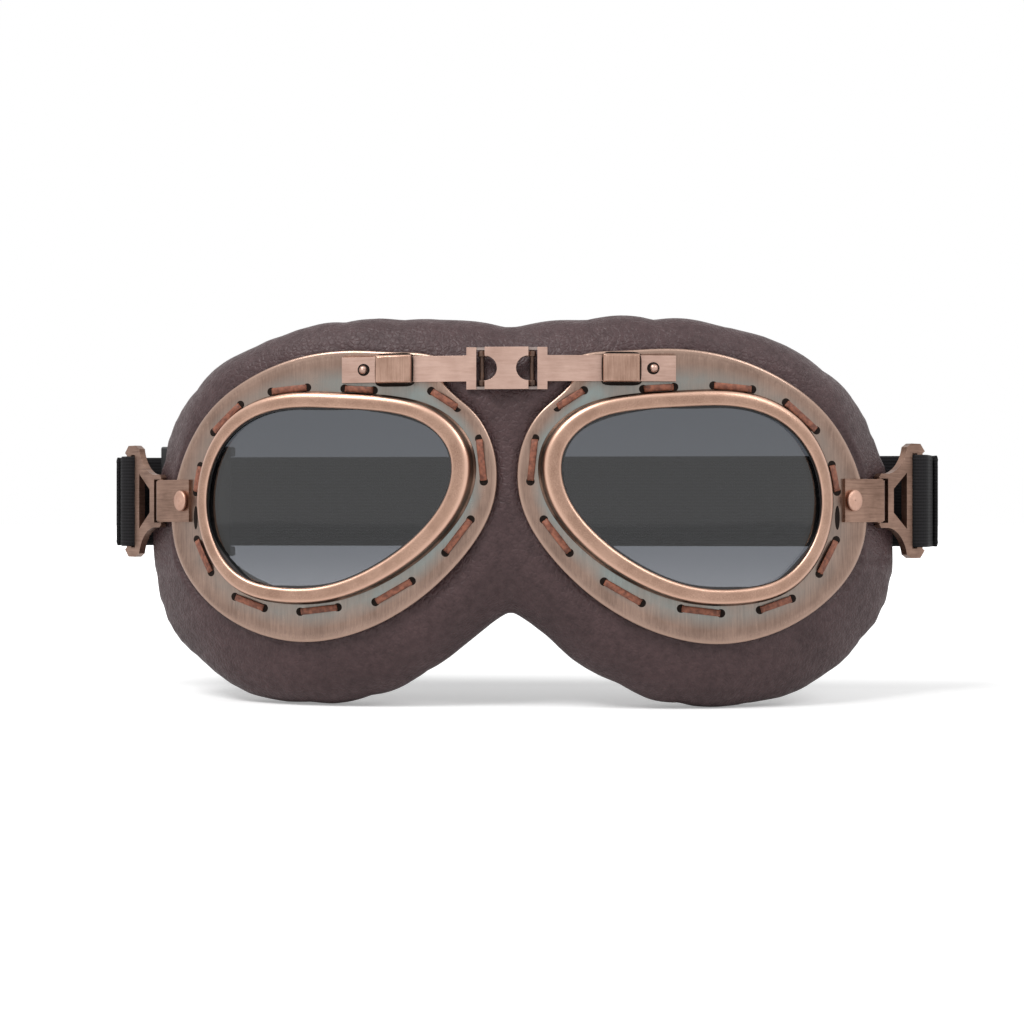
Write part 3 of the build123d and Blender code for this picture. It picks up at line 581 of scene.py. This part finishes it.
ends = np.stack([beside_lens(first, hole_reach), beside_lens(second, hole_reach)])
rise = np.array([-1.2, -0.6, -0.1, 0.3, 0.5, 0.56, 0.6, 0.62,
                 0.63, 0.62, 0.6, 0.56, 0.5, 0.3, -0.1, -0.6, -1.2])
slide = np.concatenate([[0.01, 0.01, 0.02], np.linspace(0.06, 0.94, 11), [0.98, 0.99, 0.99]])
line = ends[0][:, None] + (ends[1] - ends[0])[:, None] * slide[None, :, None]
sideways = ends[1] - ends[0]
sideways = np.stack([-sideways[:, 1], sideways[:, 0]], -1) / np.linalg.norm(sideways, axis=1, keepdims=True)
turn = full_turn(12)
thong_half_width, thong_half_thickness = 0.85, 0.33
flat_across = np.sign(np.cos(turn)) * np.abs(np.cos(turn)) ** 0.6 * thong_half_width
flat_up = np.sign(np.sin(turn)) * np.abs(np.sin(turn)) ** 0.8 * thong_half_thickness
thong_grid = (len(first), len(rise), len(turn))
thong = on_metal(line[:, :, None] + sideways[:, None, None] * flat_across[None, None, :, None],
                 rise[None, :, None] + np.broadcast_to(flat_up, thong_grid))
lace_leather, shader, node = new_finish("lace leather")
fibre = noise(node, own_place(node), 900.0, 4.0)
lace_share = spread(node, fibre, 0.35, 0.65, 0, 1)
fill(shader, Base_Color=between(node, lace_share, (0.115, 0.034, 0.018), (0.29, 0.100, 0.055)),
     Normal=bumps(node, fibre, 0.5, 0.0001), Roughness=0.6)
thongs = twins("thongs", thong, tube_faces(*thong_grid), lace_leather)
for piece, side in zip(thongs, ("right", "left")):
    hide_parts(f"{side}_lacing")


def circle(turn, wide=1.0, tall=1.0):
    """Points of an oval at the given angles."""
    return np.stack([wide * np.cos(turn), tall * np.sin(turn)], -1)


# Painted shade in each punched hole and in the slit beside each lug: dark sheets as thin as paint
eyelet_out, eyelet_up = np.array([(0.0, 0.02), (0.5, 0.02), (0.95, 0.03), (1.08, 0.02), (1.12, -0.1)]).T
spin = full_turn(16)
slit_at, slit_half_width, slit_half_height = np.array([84.5, 49.0]), 0.62, 2.9
eyelets = ends.reshape(-1, 2)[:, None, None] + eyelet_out[:, None, None] * circle(spin)
slit = slit_at + eyelet_out[:, None, None] * circle(spin, slit_half_width, slit_half_height)
dark_places = np.concatenate([eyelets, slit[None]])
dark_points = on_metal(dark_places, np.broadcast_to(eyelet_up[:, None], dark_places.shape[:-1]) + 0.02)
# A near-black finish that paints shade, here and round the clasp's blocks and rivets
painted_shade, shader, node = new_finish("punched hole")
shade_speckle = noise(node, own_place(node), 1500.0)
fill(shader, Base_Color=between(node, shade_speckle, (0.006, 0.004, 0.0035), (0.020, 0.013, 0.010)),
     Roughness=0.8, Specular_IOR_Level=0.1)
for piece in twins("punched_holes", dark_points, tube_faces(*dark_places.shape[:-1]), painted_shade):
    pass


# LENSES AND GASKETS
# Curved smoke-grey plastic lenses, each in a black rubber channel that shows as a dark line
# inside the ring.
smoke, shader, node = new_finish("smoke lens")
height = node("ShaderNodeSeparateXYZ", Vector=own_place(node)).outputs["Z"]
tint = spread(node, height, 0.030, 0.077, 1.0, 0.0)
fill(shader, Base_Color=between(node, tint, (0.070, 0.077, 0.090), (0.105, 0.111, 0.125)),
     Roughness=0.03, Transmission_Weight=1, IOR=1.65)
rubber, shader, node = new_finish("gasket rubber")
dust = noise(node, own_place(node), 600.0, 3.0)
fill(shader, Base_Color=between(node, dust, (0.010, 0.010, 0.011), (0.03, 0.03, 0.032)), Roughness=0.5)


def paint(name, finish):
    """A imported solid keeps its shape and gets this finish."""
    nodes[name].data.materials.clear()
    nodes[name].data.materials.append(finish)


for side in ("right", "left"):
    paint(f"{side}_lens", smoke)
    paint(f"{side}_gasket", rubber)


# NOSE CLASP
# Two sheet arms riveted to the flanges end in T heads, whose ears hold the hinge pins of a small
# hourglass plate. A raised keeper block stands on each arm. All are copper with worn bright edges.
block_copper = copper("clasp copper", (0.20, 0.112, 0.077), (0.54, 0.350, 0.272), (2400, 2400, 120),
                      0.44, 0.26)
plate_copper = copper("plate copper", (0.38, 0.242, 0.195), (0.60, 0.415, 0.345), (160, 160, 1400),
                      0.46, 0.34)
edge_copper = copper("worn edge", (0.50, 0.330, 0.262), (0.74, 0.530, 0.442), (400, 400, 400),
                     0.42, 0.30)
rivet_copper = copper("rivet copper", (0.44, 0.262, 0.198), (0.62, 0.392, 0.305), (500, 500, 500),
                      0.55, 0.45)
# A dark pin metal, also used as painted shade on the blocks' steep sides and the plate's knuckles
pin_and_shade_metal = copper("dark pin and painted shade", (0.05, 0.035, 0.03), (0.16, 0.10, 0.075), (500, 500, 500), 0.5, 0.35)


def softened(name, finish, edge, width, body):
    """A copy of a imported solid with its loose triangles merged, its flat ones joined and its sharp edges
    rolled over by width millimetres. The rolled faces take the edge's finish."""
    piece = bpy.data.objects.new(name + "_formed", nodes[name].data.copy())
    bpy.context.scene.collection.objects.link(piece)
    piece.data.materials.clear()
    piece.data.materials.append(finish)
    piece.data.materials.append(edge)
    piece.data.polygons.foreach_set("use_smooth", np.full(len(piece.data.polygons), True))
    weld = piece.modifiers.new("merged", "WELD")
    weld.merge_threshold = 0.00001
    flat = piece.modifiers.new("flat faces", "DECIMATE")
    flat.decimate_type = "DISSOLVE"
    flat.angle_limit = np.radians(1.5)
    roll = piece.modifiers.new("rolled edges", "BEVEL")
    roll.width = width * 0.001
    roll.segments = 2
    roll.limit_method = "ANGLE"
    roll.angle_limit = np.radians(38)
    roll.material = 1
    even = piece.modifiers.new("even shading", "WEIGHTED_NORMAL")
    even.weight = 90
    even.keep_sharp = False
    settle(piece)
    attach(piece, body)
    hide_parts(name)
    return piece


def darkened(piece, finish, low, high):
    """Gives another finish to the piece's faces that lie between two distances from the nose, in
    millimetres."""
    piece.data.materials.append(finish)
    for face in piece.data.polygons:
        if low < abs(face.center.x) * 1000 < high:
            face.material_index = 2


# Painted shade: the ears' ends, the steep sides of the blocks and the plate's knuckles are darker
# than the faces
# The ears' ends take a darker finish as painted shade
ear_shade_metal = copper("shaded ear", (0.14, 0.11, 0.10), (0.44, 0.36, 0.33), (500, 500, 500), 0.46, 0.34)
for side in ("right", "left"):
    eye = f"{side}_eye"
    arm = softened(f"{side}_bridge_arm", plate_copper, edge_copper, 0.14, eye)
    darkened(arm, ear_shade_metal, 0, 7.65)
    block = softened(f"{side}_keeper_block", block_copper, edge_copper, 0.7, eye)
    block.data.materials.append(pin_and_shade_metal)
    for face in block.data.polygons:
        steep = abs(face.normal.y) < 0.35
        if steep:
            face.material_index = 2
    paint(f"{side}_arm_rivet", plate_copper)
    paint(f"{side}_hinge_pin", pin_and_shade_metal)
plate = softened("bridge_plate", plate_copper, edge_copper, 0.3, "bridge_link")
darkened(plate, pin_and_shade_metal, 5.55, 9)

# Shade painted dark in the corners round each block and each small rivet, with some black polish
# dried there, as thin as paint
clasp_height, arm_face = 86.6, 1.2
round_line = circle(full_turn(48))
square_line = round_line / (np.abs(round_line) ** 6).sum(axis=1, keepdims=True) ** (1 / 6)
shade_rim_out, shade_rim_up = np.array([(0.0, 0.03), (0.5, 0.03), (0.93, 0.03), (1.0, -0.05)]).T
for name, middle, half_size, shade_rim_line, sunk in (("block_shade_rims", 28.75, (5.35, 4.3), square_line, 1.2),
                                                 ("rivet_shade_rims", 36.7, (1.62, 1.62), round_line, 0.0)):
    shade_rim_place = np.array([middle, clasp_height]) + shade_rim_out[:, None, None] * shade_rim_line * half_size
    shade_rim_points = on_metal(shade_rim_place, arm_face + np.broadcast_to(shade_rim_up[:, None], shade_rim_place.shape[:-1]))
    shade_rim_points[-1, :, 1] += sunk
    for piece in twins(name, shade_rim_points, grid_faces(*shade_rim_place.shape[:-1], False, True), painted_shade):
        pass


# SIDE LUGS AND BUCKLES
# A sheet lug on each temple is riveted to the flange and curls round the bar of a stamped
# wishbone buckle. The rivet has a large flat dome, and the buckle's edges are worn bright.
lug_copper = copper("lug copper", (0.15, 0.088, 0.064), (0.38, 0.240, 0.182), (120, 120, 2200),
                    0.46, 0.28)
for side in ("right", "left"):
    softened(f"{side}_lug", lug_copper, edge_copper, 0.18, f"{side}_eye")
    softened(f"{side}_buckle", lug_copper, edge_copper, 0.3, f"{side}_buckle")

rivet_at, lug_face, temple_slope = np.array([89.3, temple_height]), 0.8, np.radians(40)
rivet_profile = closed_curve([(0.0, 1.5), (1.0, 1.47), (1.9, 1.36), (2.45, 1.18), (2.72, 0.9),
                              (2.78, 0.55), (2.74, 0.1), (2.5, -0.1), (1.2, -0.12), (0.0, -0.12)], 60)
rivet_out, rivet_up = rivet_profile[rivet_profile[:, 0] > 0.02].T
rivet_line = circle(full_turn(40), wide=np.cos(temple_slope))
rivet_place = rivet_at + rivet_out[:, None] * rivet_line[:, None]
rivet_points = on_metal(rivet_place, lug_face + np.broadcast_to(rivet_up, rivet_place.shape[:-1]))
rivet_faces = grid_faces(*rivet_place.shape[:-1], True, False)
rivet_heads = twins("rivet_head", rivet_points, rivet_faces, rivet_copper)
for piece, side in zip(rivet_heads, ("right", "left")):
    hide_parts(f"{side}_lug_rivet")


# ELASTIC STRAP
# Black woven elastic, 25 mm wide, with ribbed edges. On each side it is sewn in a loop round the
# buckle's outer bar, folds back sharply and runs behind the head, where the slider joins the two runs.
strap_half = 12.5
band_half_thickness, rib_height, rib_length, ribs_from = 0.56, 0.05, 1.6, 0.78
hem_from, hem_half_thickness = 0.985, 0.3
ripple_height, ripple_length = 0.025, 1.8
bar_at = np.array([108.601, 17.100])
crease_x = 112.601
elastic, shader, node = new_finish("black elastic")
threads = node("ShaderNodeUVMap", {"uv_map": "weave"}).outputs[0]
ribs = node("ShaderNodeTexWave", {"bands_direction": "Y"}, Vector=threads, Scale=0.36, Distortion=0.3)
picks = node("ShaderNodeTexWave", {"bands_direction": "X"}, Vector=threads, Scale=0.5, Distortion=0.6)
woven = maths(node, "MULTIPLY_ADD", picks.outputs["Fac"], 0.3, ribs.outputs["Fac"])
fill(shader, Base_Color=between(node, woven, (0.006, 0.0055, 0.006), (0.016, 0.015, 0.0165)),
     Normal=bumps(node, woven, 0.3, 0.0002), Roughness=0.78, Specular_IOR_Level=0.15, Sheen_Weight=0.03)


def even_path(points, step=0.9):
    """Points at even steps along a line of straight runs, and how far along it each lies."""
    points = np.array(points)
    length = np.concatenate([[0], np.cumsum(np.linalg.norm(np.diff(points, axis=0), axis=1))])
    even = np.linspace(0, length[-1], int(length[-1] / step) + 2)
    return np.stack([np.interp(even, length, points[:, k]) for k in (0, 1)], -1), even


def webbing(name, path, closed, body, replaced):
    """A band of elastic: a flat section with thin ribs by its edges, carried along a path seen from above.
    The face of the band lies along the path's normal, and its width stands upright."""
    path, length = even_path(np.vstack([path, path[:1]]) if closed else path)
    if closed:
        path, length = path[:-1], length[:-1]
        along = np.roll(path, -1, 0) - np.roll(path, 1, 0)
    else:
        along = np.gradient(path, axis=0)
    along /= np.linalg.norm(along, axis=1, keepdims=True)
    side = np.stack([along[:, 1], -along[:, 0]], -1)
    v = np.linspace(-1, 1, 43)
    ribbed = rib_height * np.cos(v * strap_half * 2 * np.pi / rib_length) * (np.abs(v) > ribs_from)
    thick = np.where(np.abs(v) > hem_from, hem_half_thickness, band_half_thickness + ribbed)
    level = np.concatenate([v, v[::-1]]) * strap_half
    half = np.concatenate([thick, -thick[::-1]])
    ripple = ripple_height * np.sin(length * 2 * np.pi / ripple_length)
    across = path[:, None] + side[:, None] * (half[None, :] * (1 + ripple[:, None]))[..., None]
    grid = across.shape[:2]
    upward = np.broadcast_to(temple_height + level, grid)
    points = np.concatenate([across, upward[..., None]], -1)
    faces = grid_faces(*grid, closed, True)
    if not closed:
        strip = np.arange(len(v) - 1)
        last = (len(path) - 1) * len(level)
        cap = np.stack([strip, strip + 1, len(level) - 2 - strip, len(level) - 1 - strip], -1)
        faces = np.concatenate([faces, cap[:, ::-1], cap + last])
    piece = put(name, points, faces)
    weave = piece.data.uv_layers.new(name="weave")
    corner = np.empty(len(piece.data.loops), int)
    piece.data.loops.foreach_get("vertex_index", corner)
    flat = np.stack([np.broadcast_to(length[:, None], grid), np.broadcast_to(level + strap_half, grid)], -1)
    weave.data.foreach_set("uv", flat.reshape(-1, 2)[corner].ravel().astype(np.float32))
    piece.data.materials.append(elastic)
    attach(piece, body)
    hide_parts(*replaced)


def hull_path(crease):
    """Line round the bar and the crease as a belt runs round two pulleys, at the middle of the elastic."""
    big, small = 2.45, 0.65
    way = crease - bar_at
    lean = np.arctan2(way[1], way[0])
    open_angle = np.arccos((big - small) / np.linalg.norm(way))
    round_bar = np.linspace(lean + open_angle, lean + 2 * np.pi - open_angle, 40)
    round_crease = np.linspace(lean - open_angle, lean + open_angle, 14)
    return np.concatenate([bar_at + big * circle(round_bar), crease + small * circle(round_crease)])


def run_path(crease, end_x):
    """Line from the outside of the crease, round it and straight back behind the mask."""
    fold_radius = 2.05
    arc = crease + fold_radius * circle(np.radians(np.linspace(-22, 90, 24)))
    return np.vstack([arc, [end_x, arc[-1, 1]]])


right_crease = np.array([crease_x, 23.360])
left_crease = np.array([crease_x, 25.060])
mirrored = np.array([-1, 1])
webbing("right_loop_web", hull_path(right_crease), True, "right_strap_end", ["right_strap_loop"])
webbing("left_loop_web", hull_path(left_crease)[::-1] * mirrored, True, "left_strap_end", ["left_strap_loop"])
webbing("back_web", run_path(right_crease, -98.0), False, "back_run", ["strap_back"])
webbing("left_web", run_path(left_crease, 60.0)[::-1] * mirrored, False, "left_run", ["left_strap"])


# STRAP SLIDER
# A moulded black plastic three-bar slider with a dull face, straight behind the left buckle. The
# two runs of the elastic meet in it.
plastic, shader, node = new_finish("black plastic")
mould = noise(node, own_place(node), 1400.0, 3.0)
fill(shader, Base_Color=between(node, mould, (0.014, 0.014, 0.015), (0.03, 0.03, 0.031)),
     Normal=bumps(node, mould, 0.3, 0.00005), Roughness=0.5)
softened("strap_slider", plastic, plastic, 0.5, "slider")


# FLOOR, LIGHT AND CAMERA
# A plain pale floor under a soft white studio, with a soft key light from the upper left and a
# weaker one from the right. The camera stands just to the right of straight ahead.
def seen_rays(node, gloss):
    """1 for the rays in which the background is seen straight or through a lens, and gloss for those in
    which the metal and the lenses reflect it."""
    ray = node("ShaderNodeLightPath").outputs
    seen = maths(node, "MAXIMUM", ray["Is Camera Ray"], ray["Is Transmission Ray"])
    return maths(node, "MAXIMUM", seen, maths(node, "MULTIPLY", ray["Is Glossy Ray"], gloss))


floor_half, floor_depth = 6000, -0.05
floor_sides = ((-1, -1), (1, -1), (1, 1), (-1, 1))
floor = put("floor", [(x * floor_half, y * floor_half, floor_depth) for x, y in floor_sides],
            [[0, 1, 2, 3]], False)
pale, shader, node = new_finish("pale floor")
away = node("ShaderNodeVectorMath", {"operation": "LENGTH"}, Vector=own_place(node))
whiter = spread(node, away.outputs["Value"], 0.15, 0.7, 0.30, 1.0)
fill(shader, Base_Color=(0.86, 0.86, 0.86, 1), Roughness=0.9, Specular_IOR_Level=0.1,
     Emission_Color=(1, 1, 1, 1), Emission_Strength=maths(node, "MULTIPLY", seen_rays(node, 0.3), whiter))
floor.data.materials.append(pale)

world = bpy.data.worlds.new("studio")
world.use_nodes = True
bpy.context.scene.world = world
node = node_maker(world.node_tree)
fill(world.node_tree.nodes["Background"], Color=(1, 1, 1, 1),
     Strength=spread(node, seen_rays(node, 1.0), 0.0, 1.0, 0.5, 1.0))


def softbox(name, place, target, size, power):
    """A square soft lamp, turned to its target."""
    lamp = bpy.data.lights.new(name, "AREA")
    lamp.shape = "SQUARE"
    lamp.size = size
    lamp.energy = power
    holder = bpy.data.objects.new(name, lamp)
    bpy.context.scene.collection.objects.link(holder)
    holder.location = place
    holder.rotation_euler = (Vector(target) - Vector(place)).to_track_quat("-Z", "Y").to_euler()


softbox("key", (-0.45, -0.6, 0.95), (0, 0, 0.05), 0.5, 9.0)
softbox("fill", (0.75, -0.45, 0.75), (0, 0, 0.05), 0.5, 3.5)

look_at = Vector((0, -0.008, 0.0505))
turned, distance, width = np.radians(4.0), 0.46, 0.268
camera = bpy.data.objects.new("camera", bpy.data.cameras.new("camera"))
bpy.context.scene.collection.objects.link(camera)
camera.location = look_at + Vector((np.sin(turned), -np.cos(turned), 0.0)) * distance
camera.rotation_euler = (look_at - camera.location).to_track_quat("-Z", "Y").to_euler()
camera.data.sensor_width = 36
camera.data.lens = camera.data.sensor_width * distance / width
camera.data.clip_start = 0.01
bpy.context.scene.camera = camera
bpy.context.scene.view_settings.view_transform = "Standard"
